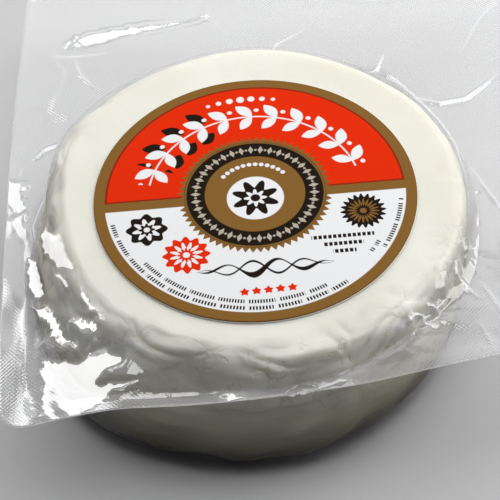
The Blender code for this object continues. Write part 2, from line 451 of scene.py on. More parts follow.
def film_veil(film, place, emboss, off_wheel, taut):
    """How milky the film is at each place."""
    x, y, _ = film.parts(place)
    patchy = film.noise(place, 45.0).rise(0.42, 0.62)
    hatched = emboss * patchy * (1 - taut * 1.2).clipped() * HATCH_VEIL
    from_slack = hypot(x - SLACK_PLACE[0], y - SLACK_PLACE[1])
    slack = (1 - from_slack.rise(*SLACK_FADE)) * SLACK_VEIL
    free = off_wheel * (FREE_VEIL - TIGHT_VEIL) + TIGHT_VEIL
    # The veil along the creases is a painted highlight along the folds
    return (hatched + free + slack + film.drawn("crease_highlight") * CREASE_HIGHLIGHT_VEIL).clipped()


def film_finish():
    """Clear glossy film with a fine embossed cross-hatch outside the wheel."""
    film = Finish("clear_film")
    place = film.place()
    x, y, z = film.parts(place)
    share = z / WHEEL_HEIGHT
    across, back = x - share * TOP_LEAN[0], y - share * TOP_LEAN[1]
    beside = hypot(across, back) - share * (TOP_RADIUS - BASE_RADIUS) - BASE_RADIUS
    off_wheel = beside.rise(0.0, FREE_FROM)
    rising = (x * (TURN / HATCH_PITCH)).maths("SINE")
    falling = (y * (TURN / HATCH_PITCH)).maths("SINE")
    emboss = rising * falling * beside.rise(*HATCH_START)
    taut = film.drawn("taut")
    normal = film_normal(film, place, emboss, taut)
    facing = film.node("LayerWeight", {}, {"Normal": normal}, "Facing")
    head_on = off_wheel * (FREE_SHINE - TIGHT_SHINE) + taut * FACET_SHINE + TIGHT_SHINE
    # Painted shade: the film's shine is dimmed near the floor
    out_of_painted_shade = z.rise(*SHADED_FOOT)
    gloss_share = ((facing ** 5.0) * out_of_painted_shade * GRAZING_SHINE + head_on * (out_of_painted_shade * 0.8 + 0.2)).clipped()
    clear = film.node("BsdfTransparent", {}, {"Color": (0.985, 0.985, 0.985)})
    haze = film.node("BsdfDiffuse", {}, {"Color": (0.86, 0.86, 0.88)})
    veil_share = film_veil(film, place, emboss, off_wheel, taut)
    veil = film.node("MixShader", {}, {0: veil_share, 1: clear, 2: haze})
    smoother = (off_wheel + taut).clipped() * (TIGHT_ROUGHNESS - FREE_ROUGHNESS)
    shine = {"Color": (1.0, 1.0, 1.0), "Roughness": TIGHT_ROUGHNESS - smoother, "Normal": normal}
    gloss = film.node("BsdfGlossy", {}, shine)
    return film.surface(film.node("MixShader", {}, {0: gloss_share, 1: veil, 2: gloss}))


def film_edge_finish():
    """The film's cut edge, a thin pale line with a painted glow, as if it caught the light."""
    edge = Finish("film_cut_edge")
    clear = edge.node("BsdfTransparent", {}, {})
    pale = principled(edge, {
        "Base Color": (0.85, 0.85, 0.83),
        "Roughness": 0.2,
        # The emission is a painted glow along the cut edge
        "Emission Color": (0.9, 0.9, 0.88),
        "Emission Strength": 0.34,
    })
    return edge.surface(edge.node("MixShader", {}, {0: 0.85, 1: clear, 2: pale}))


def curd_crevices(cheese, place):
    """1 along the fine broken joints between curds, on the wheel's rim and upper side only."""
    sockets = {"Vector": place, "Scale": 150.0, "Detail": 4.0}
    wander = cheese.node("TexNoise", {}, sockets, "Color")
    sockets = {0: wander, 1: (CURD_WANDER,) * 3, 2: place}
    bent = cheese.node("VectorMath", {"operation": "MULTIPLY_ADD"}, sockets)
    sockets = {"Vector": bent, "Scale": CREVICE_SCALE}
    edges = cheese.node("TexVoronoi", {"feature": "DISTANCE_TO_EDGE"}, sockets)
    x, y, z = cheese.parts(place)
    across, back = x - 0.9 * TOP_LEAN[0], y - 0.9 * TOP_LEAN[1]
    reach = hypot(across, back)
    front = 1 - (y - x * 0.25).rise(*CREVICE_FRONT)
    rim = reach.rise(*CREVICE_RIM) * z.rise(*CREVICE_LOW) * front
    broken = cheese.noise(place, 170.0).rise(0.44, 0.60)
    return (1 - edges.rise(0.0, CREVICE_HALF)) * rim * broken


def cheese_finish():
    """Moist fresh white cheese: close-knit curd, a little translucent."""
    cheese = Finish("fresh_cheese")
    place = cheese.place()
    cloud = cheese.noise(place, 38.0, 3.0)
    grain = cheese.noise(place, 420.0, 4.0, 0.6)
    pits = cheese.node("TexVoronoi", {}, {"Vector": place, "Scale": 170.0})
    pit = 1 - pits.rise(0.05, 0.22)
    base = cheese.mix(cloud.rise(0.35, 0.7), CHEESE_DULL, CHEESE_PALE)
    _, _, height = cheese.parts(place)
    sockets = {"Vector": place, "Scale": (1.0, 1.0, 5.0)}
    layered = cheese.node("Mapping", {}, sockets)
    streak = cheese.noise(layered, 60.0, 4.0, 0.6)
    # Painted shade: the colour darkens on the lower side
    shaded_low_side = 1 - (height + (streak - 0.5) * (12.0 * MM)).rise(*LOW_SIDE_SHADE_FADE)
    # Painted contact shadow: the colour goes near black at the foot
    foot_shadow = 1 - height.rise(*FOOT_SHADOW_FADE)
    colour = cheese.mix(pit * 0.10, base, PIT_COLOUR)
    crevice = curd_crevices(cheese, place)
    # Painted shade darkens the colour in the crevices between curds
    colour = cheese.mix(crevice * 0.30, colour, CREVICE_SHADE_COLOUR)
    colour = cheese.mix(shaded_low_side * 0.9, colour, LOW_SIDE_SHADE_COLOUR)
    colour = cheese.mix(streak.rise(0.55, 0.72) * shaded_low_side * 0.35, colour, STREAK_COLOUR)
    colour = cheese.mix(foot_shadow * 0.9, colour, FOOT_SHADOW_COLOUR)
    relief = grain * 0.35 - pit * 0.3 + streak * shaded_low_side * 1.5 - crevice * 2.2
    normal = cheese.bump(relief, 0.14 * MM, 0.5)
    return cheese.surface(principled(cheese, {
        "Base Color": colour,
        "Roughness": 0.42,
        "Specular IOR Level": 0.15,
        "Subsurface Weight": 0.5,
        "Subsurface Radius": (1.0, 0.9, 0.7),
        "Subsurface Scale": 5.0 * MM,
        "Normal": normal,
    }))


def label_plane(label):
    """Right and back on the label, in shares of its radius, turned as the print is."""
    sockets = {
        "Vector": label.place(),
        "Location": (*LABEL_CENTRE, 0.0),
        "Rotation": (0.0, 0.0, PRINT_TURN),
        "Scale": (LABEL_RADIUS, LABEL_RADIUS, 1.0),
    }
    u, v, _ = label.parts(label.node("Mapping", {"vector_type": "TEXTURE"}, sockets))
    return u, v


def inside(reach, limit):
    """1 where reach is less than limit, with a printed edge's slight softness."""
    return (limit - reach).rise(-PRINT_SOFTNESS, PRINT_SOFTNESS)


def spanned(turn, span):
    """1 where the turn lies between the span's two ends, which are in degrees."""
    low, high = (math.radians(end) for end in span)
    return turn.over(low) * turn.under(high)


def strip(value, middle, half):
    return inside((value - middle).maths("ABSOLUTE"), half)


def bloom(u, v, place, size, petals, depth, turned=0.0):
    """A round form with rounded petals, or a plain disc where depth is 0."""
    across, up = u - place[0], v - place[1]
    reach = hypot(across, up)
    if not depth:
        return inside(reach, size)
    wave = ((up.maths("ARCTAN2", across) - turned) * petals).maths("COSINE")
    return inside(reach, (wave * 0.5 - 0.5) * (depth * size) + size)


def star(u, v, place, size):
    """A five-pointed star with straight edges."""
    across, up = u - place[0], v - place[1]
    reach = hypot(across, up)
    turn = up.maths("ARCTAN2", across) - math.radians(90.0)
    fifth = (turn * (5.0 / TURN)).maths("PINGPONG", 0.5) * (TURN / 5.0)
    edge = (fifth.maths("SINE") * STAR_SLOPE + fifth.maths("COSINE")) * reach
    return inside(edge, size)


def leaf(across, up, lean, half_length, half_width, off=(0.0, 0.0)):
    """A pointed leaf that leans by so many degrees, with its middle off the cell's middle."""
    lean = math.radians(lean)
    along = (across - off[0]) * math.cos(lean) + (up - off[1]) * math.sin(lean)
    aside = (up - off[1]) * math.cos(lean) - (across - off[0]) * math.sin(lean)
    belly = 1 - (along / half_length) ** 2.0
    return inside(aside.maths("ABSOLUTE"), belly * half_width) * belly.over(0.0)


def cell_place(turn, count, reach):
    """Distance along an arc from the middle of each of count equal cells round the circle."""
    share = (turn * (count / TURN)).maths("FRACT") - 0.5
    return share * (TURN / count * reach)


def garland(reach, turn):
    """White leaves in pairs on a curved twig, with pearls and dark leaves beside it."""
    cell = cell_place(turn, GARLAND_PAIRS, GARLAND_RADIUS)
    rise = reach - GARLAND_RADIUS
    dark = leaf(cell, rise, -20.0, 0.072, 0.040, (0.0, -0.100))
    dark = (leaf(cell, rise, 62.0, 0.075, 0.036, (-0.02, 0.095)) + dark).clipped()
    yield dark * spanned(turn, DARK_LEAF_SPAN), INK
    twig = strip(rise, 0.0, 0.0055)
    outer = leaf(cell, rise, 48.0, 0.068, 0.035, (0.016, 0.054))
    inner = leaf(cell, rise, -48.0, 0.068, 0.035, (0.016, -0.054))
    berry = inside(hypot(cell + 0.056, rise - 0.058), 0.015)
    white = (twig + outer + inner + berry).clipped() * spanned(turn, GARLAND_SPAN)
    pearl_cell = cell_place(turn, 72.0, PEARL_RADIUS)
    pearl_size = (turn - math.radians(92.0)).maths("ABSOLUTE") * -0.05 + 0.027
    pearl = inside(hypot(pearl_cell, reach - PEARL_RADIUS), pearl_size)
    yield (pearl * spanned(turn, PEARL_SPAN) + white).clipped(), PAPER


def seal(u, v, reach, turn):
    """The toothed gold seal with its dark ring of beads and a flower on a white disc."""
    tooth = (turn * (SEAL_TEETH / TURN)).maths("PINGPONG", 0.5) * 2.0
    yield inside(reach, SEAL_RADIUS - tooth * SEAL_TOOTH), GOLD
    yield strip(reach, RING_OUTER + 0.012, 0.002) * 0.6, INK
    yield inside(reach, RING_OUTER) - inside(reach, RING_INNER), INK
    middle = 0.5 * (RING_OUTER + RING_INNER)
    cell = cell_place(turn, RING_BEADS, middle)
    rise = (reach - middle).maths("ABSOLUTE")
    lozenge = inside(cell.maths("ABSOLUTE") * 1.9 + rise, 0.032)
    dot_cell = cell_place(turn + math.pi / RING_BEADS, RING_BEADS, middle)
    yield (inside(hypot(dot_cell, rise), 0.008) + lozenge).clipped(), BEIGE
    for size, petals, depth, turned, colour in SEAL_FLOWER:
        yield bloom(u, v, DISC_PLACE, size, petals, depth, turned), colour
    crown = inside(hypot(cell_place(turn, 40.0, CROWN_RADIUS), reach - CROWN_RADIUS), 0.015)
    yield crown * spanned(turn, CROWN_SPAN), PAPER


def rosettes(u, v):
    """Round ornaments on the lower white field."""
    for place, size, petals, *colours in ROSETTES:
        for ring, (share, depth, turned) in enumerate(ROSETTE_RINGS):
            yield bloom(u, v, place, size * share, petals, depth, turned), colours[ring % 2]


def lower_print(u, v, reach, turn):
    """Ruled lines, a flourish, a row of stars, and two arcs of fine dashes."""
    ruled = 0.0
    for row, half_length in enumerate(RULED_HALVES):
        line = strip(v, RULED_PLACE[1] - row * RULED_STEP, 0.0145)
        ruled = strip(u, RULED_PLACE[0], half_length) * line + ruled
    yield (u * 34.0).maths("FRACT").under(0.70) * ruled, INK
    along, above = u - FLOURISH_PLACE[0], v - FLOURISH_PLACE[1]
    fullness = 1 - (along / FLOURISH_HALF) ** 2.0
    sway = (along * 20.0).maths("SINE") * fullness * 0.055
    thick = ((along * 20.0 + 0.8).maths("COSINE") * 0.5 + 0.5) * 0.020 + 0.006
    flourish = inside((above - sway).maths("ABSOLUTE"), thick * fullness)
    echo = inside((above + sway).maths("ABSOLUTE"), fullness * 0.009)
    yield (echo + flourish).clipped() * fullness.over(0.0), INK
    for share in np.linspace(0.0, 1.0, STAR_COUNT).tolist():
        place = [a + (b - a) * share for a, b in zip(*STAR_ENDS)]
        yield star(u, v, place, STAR_SIZE), RED
    low = turn * -1.0
    for radius, half, dashes, groups, span in DASH_ARCS:
        fine = (turn * dashes).maths("FRACT").under(0.58)
        group = ((turn * groups).maths("FRACT") - 0.5).maths("ABSOLUTE").under(0.43)
        wider = (turn * groups * 0.37).maths("SINE").over(-0.93)
        yield strip(reach, radius, half) * spanned(low, span) * fine * group * wider, INK


def rims(v, reach, upper):
    """The gold rim and the gold band, each with a dark line inside it."""
    shade = strip(reach, RIM_INNER - 0.006, 0.007) * upper
    shade = (strip(v, BAND_PLACE + BAND_HALF + 0.006, 0.007) + shade).clipped()
    yield shade * 0.8, RIM_SHADE
    yield strip(v, BAND_PLACE, BAND_HALF), GOLD
    yield 1 - inside(reach, RIM_INNER), GOLD


def print_finish():
    """The label's print: rim, band, red and white fields, seal, and small ornaments."""
    label = Finish("label_print")
    u, v = label_plane(label)
    reach = hypot(u, v)
    turn = v.maths("ARCTAN2", u)
    upper = inside(v * -1.0, -BAND_PLACE)
    face = label.mix(upper, PAPER, RED)
    layers = (garland(reach, turn), rosettes(u, v), lower_print(u, v, reach, turn),
              rims(v, reach, upper), seal(u, v, reach, turn))
    for layer in layers:
        for mask, colour in layer:
            face = label.mix(mask, face, colour)
    _, _, height = label.parts(label.place())
    face = label.mix(height.under(LABEL_TOP - 0.30 * MM), face, CUT_PAPER)
    fibre = label.noise(label.place(), 1400.0, 3.0, 0.6)
    return label.surface(principled(label, {
        "Base Color": face,
        "Roughness": 0.55,
        "Specular IOR Level": 0.0,
        "Normal": label.bump(fibre, 0.008 * MM, 0.4),
    }))


def floor_finish():
    floor = Finish("pale_floor")
    return floor.surface(principled(floor, {
        "Base Color": (0.49, 0.49, 0.495),
        "Roughness": 0.5,
    }))


def unevenness(angle):
    return sum(height * np.cos(waves * angle + math.radians(phase))
               for waves, height, phase in OUTLINE_WAVES)


def steps(count):
    """Equal steps from above 0 up to 1."""
    return np.linspace(0.0, 1.0, count + 1)[1:]


def wheel_centre(z):
    share = z / WHEEL_HEIGHT
    return TOP_LEAN[0] * share, TOP_LEAN[1] * share


def wheel_radius(angle, z):
    share = z / WHEEL_HEIGHT
    return BASE_RADIUS + (TOP_RADIUS - BASE_RADIUS) * share + unevenness(angle)


def around(angle, radius, z):
    """Points at this radius from the wheel's leaning axis."""
    z = np.zeros_like(angle) + z
    middle = wheel_centre(z)
    return np.stack((middle[0] + radius * np.cos(angle), middle[1] + radius * np.sin(angle), z), -1)


def shoulder_ring(angle, rounding, share):
    """The wheel's rounded upper edge, from its top at 0 to its side at 1."""
    turn = 0.5 * math.pi * share
    z = WHEEL_HEIGHT - rounding + rounding * math.cos(turn)
    return around(angle, wheel_radius(angle, z) - rounding * (1.0 - math.sin(turn)), z)


def side_ring(angle, z):
    return around(angle, wheel_radius(angle, z), z)


def foot_ring(angle, share):
    """The wheel's rounded lower edge, from its side at 0 to its base at 1."""
    turn = 0.5 * math.pi * share
    z = BASE_ROUNDING * (1.0 - math.sin(turn))
    return around(angle, wheel_radius(angle, z) - BASE_ROUNDING * (1.0 - math.cos(turn)), z)


def base_ring(angle, share):
    return around(angle, (wheel_radius(angle, 0.0) - BASE_ROUNDING) * share, 0.0)


def pouch_outline():
    """The pouch's edge from above, as closely spaced points."""
    corners = np.array(POUCH_CORNERS)
    count = len(corners)
    sides = []
    for index in range(count):
        start, end = corners[index], corners[(index + 1) % count]
        along = end - start
        length = np.linalg.norm(along)
        outward = np.array((along[1], -along[0])) / length
        trim = 1.6 * CORNER_RADIUS / length
        share = np.linspace(trim, 1.0 - trim, 160)[:, None]
        bow = SIDE_BOWS[index] * 4.0 * share * (1.0 - share)
        sides.append(start + along * share + outward * bow)
    outline = []
    for index, side in enumerate(sides):
        corner, after = corners[(index + 1) % count], sides[(index + 1) % count][0]
        share = np.linspace(0.0, 1.0, 14)[1:-1, None]
        bend = (1 - share) ** 2 * side[-1] + 2 * share * (1 - share) * corner + share ** 2 * after
        outline += [side, bend]
    return np.concatenate(outline)


def edge_points(angles):
    """Where rays from the wheel's axis at these angles meet the pouch's edge."""
    middle = np.array(wheel_centre(FLANGE_HEIGHT))
    rays = pouch_outline() - middle
    turns = np.arctan2(rays[:, 1], rays[:, 0])
    order = np.argsort(turns)
    reach = np.interp(angles, turns[order], np.hypot(rays[:, 0], rays[:, 1])[order], period=TURN)
    return middle + np.stack((reach * np.cos(angles), reach * np.sin(angles)), -1)


def tent(angle):
    reach = 0.0
    for corner, most in zip(POUCH_CORNERS, TENT_REACHES):
        towards = math.atan2(corner[1], corner[0])
        reach = reach + most * np.maximum(np.cos(angle - towards), 0.0) ** TENT_SHARPNESS
    return reach


def swell(x, y, length, seed, waves=14):
    """Smooth random hills and hollows about this far apart, from -1 to 1 or so."""
    draw = np.random.default_rng(seed)
    total = 0.0
    for _ in range(waves):
        heading = draw.uniform(0.0, TURN)
        turn = TURN / (length * draw.uniform(0.7, 1.5))
        phase = draw.uniform(0.0, TURN)
        total = total + np.sin(turn * (x * math.cos(heading) + y * math.sin(heading)) + phase)
    return total / math.sqrt(waves)


def crumple(x, y, spacing, bounds, seed):
    """Creased cells: 0 along the creases between cells, rising to 1 inside them."""
    draw = np.random.default_rng(seed)
    (left, front), (right, back) = bounds
    count = int((right - left) * (back - front) / spacing ** 2)
    seeds = np.stack((draw.uniform(left, right, count), draw.uniform(front, back, count)), -1)
    flat = np.stack((x.ravel(), y.ravel()), -1)
    result = np.empty(len(flat))
    for start in range(0, len(flat), 8000):
        part = flat[start:start + 8000]
        gap = np.hypot(part[:, None, 0] - seeds[None, :, 0], part[:, None, 1] - seeds[None, :, 1])
        nearest = np.partition(gap, 1, axis=1)[:, :2]
        result[start:start + 8000] = nearest[:, 1] - nearest[:, 0]
    return np.minimum(result.reshape(x.shape) / (0.8 * spacing), 1.0)


def flange_height(x, y, outward, angle):
    """Height of the flange's middle, as in the solid model, with the front edge's lifts."""
    level = FLANGE_HEIGHT + FLANGE_TILT[0] * x + FLANGE_TILT[1] * y
    turn = TURN / WAVE_LENGTH
    wave = WAVE_HEIGHT * np.sin(turn * x + 0.6) * np.cos(turn * y * 0.7 - 0.4)
    gather = GATHER_HEIGHT * np.sin(GATHERS * angle) * (1.0 - outward) * outward * 4.0
    places, lifts = np.array(FRONT_LIFTS).T * MM
    lift = sum(np.interp(x + aside, places, lifts) for aside in LIFT_BLUR) / len(LIFT_BLUR)
    front = smooth(1.0 - (y - FRONT_EDGE) / FRONT_LIFT_REACH)
    level = level - STRIP_UPTURN * np.minimum(x + LEFT_STRIP, 0.0)
    return level + wave * outward * (1.0 - front) + gather * (1.0 - front) + lift * front


def pleats(angle, along, seed, count, heights, widths, reaches):
    """Sharp folds that run out from the wheel's shoulder, high at the root, at random."""
    draw = np.random.default_rng(seed)
    total = np.zeros_like(along)
    for _ in range(count):
        middle = draw.uniform(0.0, TURN)
        height = draw.uniform(*heights)
        width = draw.uniform(*widths)
        reach = draw.uniform(*reaches)
        slant = draw.uniform(-0.9, 0.9)
        sign = 1.0 if draw.random() < 0.65 else -0.7
        aside = np.angle(np.exp(1j * (angle - middle))) * ARC_RADIUS - slant * along
        ridge = np.maximum(1.0 - np.abs(aside) / width, 0.0) ** 1.3
        fade = np.clip(1.0 - along / reach, 0.0, 1.0) * np.clip(along / (6.0 * MM) + 1.3, 0.0, 1.0)
        total += sign * height * ridge * fade
    return total


def path_distance(x, y, path, closed=False):
    """Distance in plan to a line through these points, and how far along it that is."""
    nearest = np.full(x.shape, 1.0)
    share = np.zeros(x.shape)
    count = len(path) if closed else len(path) - 1
    for index in range(count):
        start = np.array(path[index])
        step = np.array(path[(index + 1) % len(path)]) - start
        along = ((x - start[0]) * step[0] + (y - start[1]) * step[1]) / (step @ step)
        along = np.clip(along, 0.0, 1.0)
        gap = np.hypot(x - start[0] - along * step[0], y - start[1] - along * step[1])
        closer = gap < nearest
        nearest = np.where(closer, gap, nearest)
        share = np.where(closer, (index + along) / count, share)
    return nearest, share


def within(x, y, corners):
    """True for the points that lie inside these corners."""
    result = np.zeros(x.shape, bool)
    for index, (x0, y0) in enumerate(corners):
        x1, y1 = corners[(index + 1) % len(corners)]
        if y0 != y1:
            crosses = ((y0 > y) != (y1 > y)) & (x < (x1 - x0) * (y - y0) / (y1 - y0) + x0)
            result ^= crosses
    return result


def smooth(share):
    share = np.clip(share, 0.0, 1.0)
    return share * share * (3.0 - 2.0 * share)


def slackness(angle):
    """1 where the film is slackest, towards the front left corner, and 0 far from it."""
    away = np.abs(np.angle(np.exp(1j * (angle - SLACK_TURN))))
    return smooth((SLACK_SPREAD - away) / (0.6 * SLACK_SPREAD))


def wheel_top(x, y):
    """Height of the wheel's top and shoulder at a place, or 0 beside the wheel."""
    x, y = x - TOP_LEAN[0], y - TOP_LEAN[1]
    shoulder_z = WHEEL_HEIGHT - SHOULDER_RADIUS
    over = wheel_radius(np.arctan2(y, x), shoulder_z) - np.hypot(x, y)
    short = np.clip(SHOULDER_RADIUS - over, 0.0, SHOULDER_RADIUS)
    return np.where(over > 0.0, shoulder_z + np.sqrt(SHOULDER_RADIUS ** 2 - short ** 2), 0.0)


def facet_film(points, rows):
    """Lays patches of the slack film flat at a tilt, and gives how much each point is in one."""
    x, y, z = (points[rows, :, axis] for axis in (0, 1, 2))
    ragged = (swell(x, y, 4.5 * MM, 51) + 0.6 * swell(x, y, 2.0 * MM, 53)) * FACET_RAGGED
    grain = swell(x, y, 5.0 * MM, 52) * FACET_GRAIN
    taut = np.zeros(points.shape[:2])
    lifted = np.zeros(x.shape, bool)
    for slope, lift, shine, softness, corners in FACETS:
        corners = np.reshape(corners, (-1, 2)) * MM
        gap, _ = path_distance(x, y, corners, True)
        inner = np.where(within(x, y, corners), gap, -gap) + ragged + FACET_SPREAD
        share = smooth(inner / (softness * MM) + 0.5)
        middle = corners.mean(0)
        level = (z * share).sum() / max(share.sum(), 1.0)
        tilt = slope[0] * (x - middle[0]) + slope[1] * (y - middle[1])
        clear = (wheel_top(x, y) - tilt)[share > 0.5].max() + FACET_CLEARANCE
        plane = max(level + lift * MM, clear) + tilt
        z = z + (plane + grain - z) * share
        taut[rows] = np.maximum(taut[rows], share * shine)
        lifted |= share > 0.0
    points[rows, :, 2] = np.where(lifted, np.maximum(z, wheel_top(x, y) + LEAST_CLEARANCE), z)
    return taut


def fold_lift(x, y):
    """The folds, each highest in the middle of its run, and their pale creases."""
    total = np.zeros(x.shape)
    crease_highlight = np.zeros(x.shape)
    for height, width, path in FOLDS:
        gap, share = path_distance(x, y, np.reshape(path, (-1, 2)) * MM)
        ridge = np.maximum(1.0 - gap / (width * MM), 0.0) ** 1.3
        fullness = 0.35 + 0.65 * np.sin(math.pi * share)
        total += height * MM * ridge * fullness
        # Along each fold's crease line the film gets a painted highlight
        line = np.maximum(1.0 - gap / CREASE_HALF, 0.0) * np.clip(abs(height) / SHARP_FOLD, 0.0, 1.0)
        crease_highlight = np.maximum(crease_highlight, line * fullness)
    return total, crease_highlight


def grid_mesh(name, rows, columns):
    """A flat grid with one row of points for each ring of the finished form."""
    bpy.ops.mesh.primitive_grid_add(x_subdivisions=columns, y_subdivisions=rows - 1, size=2.0)
    piece = bpy.context.object
    piece.name = name
    piece.data.name = name
    return piece


def wrap_grid(piece, points):
    """Moves the grid's points onto closed rings and closes the seam and both poles."""
    rows, columns = points.shape[:2]
    closed = np.concatenate((points, points[:, :1]), 1)
    piece.data.vertices.foreach_set("co", closed.reshape(-1))
    piece.data.update()
    bpy.ops.object.mode_set(mode="EDIT")
    bpy.ops.mesh.select_all(action="SELECT")
    bpy.ops.mesh.remove_doubles(threshold=0.0005 * MM)
    bpy.ops.mesh.normals_make_consistent(inside=False)
    bpy.ops.object.mode_set(mode="OBJECT")
    bpy.ops.object.shade_smooth()


class Pouch:
    """The film's plan: its edge, and the root where its flange leaves the wheel."""

    def __init__(self):
        self.angle = np.linspace(0.0, TURN, FILM_COLUMNS, endpoint=False)
        edge = edge_points(self.angle)
        side = side_ring(self.angle, FLANGE_HEIGHT)[:, :2]
        reach = tent(self.angle) + SLACK_REACH * slackness(self.angle)
        self.roots = side + (edge - side) * reach[:, None]
        self.span = np.linalg.norm(edge - self.roots, axis=1)
        self.outward = (edge - self.roots) / self.span[:, None]
        self.root_z = flange_height(self.roots[:, 0], self.roots[:, 1], 0.0, self.angle) + SHEET_HALF

    def sheet(self, run, rise):
        """A ring of the flange, this far out from the root and above its middle."""
        place = self.roots + self.outward * run[:, None]
        z = flange_height(place[:, 0], place[:, 1], run / self.span, self.angle) + rise
        return np.column_stack((place, z))

    def top_rings(self):
        """Rings on the wheel, each with how upright its wrinkles are and its place along the film."""
        for share in TOP_SHARES:
            radius = (wheel_radius(self.angle, WHEEL_HEIGHT) - SHOULDER_RADIUS) * share
            yield around(self.angle, radius, WHEEL_HEIGHT), 1.0, -20.0 * MM
        for share in steps(SHOULDER_ROWS):
            ring = shoulder_ring(self.angle, SHOULDER_RADIUS, share)
            yield ring, 1.0 - 0.75 * share, -7.0 * MM * (1.0 - 0.4 * share)

    def drape_rings(self):
        """Rings where the film falls from the shoulder to the flange's root."""
        shoulder_z = WHEEL_HEIGHT - SHOULDER_RADIUS
        start = side_ring(self.angle, shoulder_z)
        front = smooth((-0.35 - np.sin(self.angle)) / 0.4)
        bend = DRAPE_BEND + (FRONT_BEND - DRAPE_BEND) * front
        for share in steps(DRAPE_ROWS):
            place = start[:, :2] + (self.roots - start[:, :2]) * share
            z = start[:, 2] + (self.root_z - start[:, 2]) * (1.0 - (1.0 - share) ** bend)
            yield np.column_stack((place, z)), 0.25 + 0.75 * share ** 2, -4.2 * MM * (1.0 - share)

    def flange_rings(self):
        """Rings of the flange's upper sheet, the last one its cut edge."""
        for share in steps(FLANGE_ROWS) ** 1.15:
            run = (self.span - EDGE_STRIP) * share
            yield self.sheet(run, SHEET_HALF), 1.0, run
        yield self.sheet(self.span, SHEET_HALF), 1.0, self.span

    def under_rings(self):
        """Rings of the lower sheet, from the edge in, down the wheel's side and under it."""
        for share in [1.0] + list(np.linspace(1.0, 0.0, UNDER_ROWS)[1:] ** 1.2):
            run = self.span * share
            sealed = smooth((self.span - run) / SEAL_BAND)
            yield self.sheet(run, -SHEET_HALF - (UNDER_GAP - SHEET_HALF) * sealed)
        low_z = self.root_z - SHEET_HALF - UNDER_GAP
        for share in steps(SIDE_ROWS):
            z = low_z + (BASE_ROUNDING - low_z) * share
            ring = side_ring(self.angle, z)
            ring[:, :2] += (self.roots - ring[:, :2]) * (1.0 - share) ** 3
            yield ring
        for share in steps(FILM_FOOT_ROWS):
            yield foot_ring(self.angle, share)
        for share in (0.6, 0.0):
            yield base_ring(self.angle, share)


def film_points():
    """The film's rings, how taut and how creased each point is, and the cut edge's row."""
    pouch = Pouch()
    upper = [*pouch.top_rings(), *pouch.drape_rings(), *pouch.flange_rings()]
    count = len(upper)
    points = np.array([ring for ring, _, _ in upper] + list(pouch.under_rings()))
    slopes = np.array([np.zeros(FILM_COLUMNS) + upright for _, upright, _ in upper])
    alongs = np.array([np.zeros(FILM_COLUMNS) + along for _, _, along in upper])
    crease_highlight = np.zeros(points.shape[:2])
    crease_highlight[:count] = relief_film(points[:count], pouch.angle, slopes, alongs, pouch.span)
    taut = facet_film(points, slice(TOP_FREE_ROW, count))
    return points, taut, crease_highlight, count - 1


def relief_film(points, angle, slopes, alongs, span):
    """Adds pleats, creases and ripples to the upper sheet's rings, and gives the creases."""
    x, y = points[..., 0], points[..., 1]
    turn = np.broadcast_to(angle, x.shape)
    from_edge = np.maximum(span[None, :] - np.maximum(alongs, 0.0), 0.0)
    near_wheel = np.clip(1.0 - np.abs(alongs) / (16.0 * MM), 0.0, 1.0)
    flat_band = np.clip((from_edge - 0.5 * SEAL_BAND) / (0.5 * SEAL_BAND), 0.0, 1.0)
    roomy = np.clip(span[None, :] / (10.0 * MM), 0.15, 1.0)
    loose = (CALM + (1.0 - CALM) * slackness(turn)) * np.maximum(roomy, slackness(turn))

    arc = turn * ARC_RADIUS
    off_strip = smooth((x + LEFT_STRIP) / (3.0 * MM))
    lift = sum(pleats(turn, alongs, *kind) for kind in PLEATS) * loose * off_strip
    cells = sum(crumple(x, y, spacing, FILM_BOUNDS, seed) * height for spacing, height, seed in CRUMPLES)
    lift += cells * near_wheel * loose * off_strip
    tight = near_wheel * (1.0 - smooth(alongs / (2.5 * MM)))
    lift += swell(arc, alongs * 2.0, 9.0 * MM, 33) * 0.12 * MM * tight * roomy
    lift += np.minimum(swell(arc, alongs, 13.0 * MM, 34), 0.2) * 0.30 * MM * tight
    folds, crease_highlight = fold_lift(x, y)
    lift += folds
    lift += swell(x, y, 38.0 * MM, 31) * 0.12 * MM * smooth(alongs / (10.0 * MM))
    free = smooth((alongs + 7.0 * MM) / (2.8 * MM))
    free[:len(TOP_SHARES)] = 0.0
    lift *= flat_band * free
    lift = np.maximum(lift, LOWEST)
    heading = np.stack((np.cos(turn) * (1.0 - slopes), np.sin(turn) * (1.0 - slopes), slopes), -1)
    heading /= np.linalg.norm(heading, axis=-1, keepdims=True)
    points += heading * lift[..., None]
    return crease_highlight * free


def make_film():
    points, taut, crease_highlight, edge_row = film_points()
    film = grid_mesh("pouch_film", len(points), FILM_COLUMNS)
    film.data.materials.append(film_finish())
    film.data.materials.append(film_edge_finish())
    for face in film.data.polygons[edge_row * FILM_COLUMNS:(edge_row + 1) * FILM_COLUMNS]:
        face.material_index = 1
    # The crease attribute carries the painted highlight along the folds
    for name, amounts in (("taut", taut), ("crease_highlight", crease_highlight)):
        drawn = film.data.attributes.new(name, "FLOAT", "POINT")
        drawn.data.foreach_set("value", np.concatenate((amounts, amounts[:, :1]), 1).reshape(-1))
    wrap_grid(film, points)
    return film


def cheese_points():
    """Rings of the bare wheel, rounder at the shoulder than the film that spans it."""
    angle = np.linspace(0.0, TURN, CHEESE_COLUMNS, endpoint=False)
    rounding = CHEESE_SHOULDER + CORNER_ROUNDING * slackness(angle)
    shoulder_z = WHEEL_HEIGHT - rounding
    rings = []
    for share in np.linspace(0.0, 1.0, 26) ** 0.85:
        radius = (wheel_radius(angle, WHEEL_HEIGHT) - rounding) * share
        rings.append(around(angle, radius, WHEEL_HEIGHT))
    rings += [shoulder_ring(angle, rounding, share) for share in steps(25)]
    for share in steps(41):
        z = shoulder_z + (BASE_ROUNDING - shoulder_z) * share
        rings.append(side_ring(angle, z))
    rings += [foot_ring(angle, share) for share in steps(11)]
    rings += [base_ring(angle, share) for share in (0.7, 0.4, 0.0)]
    return np.array(rings), angle


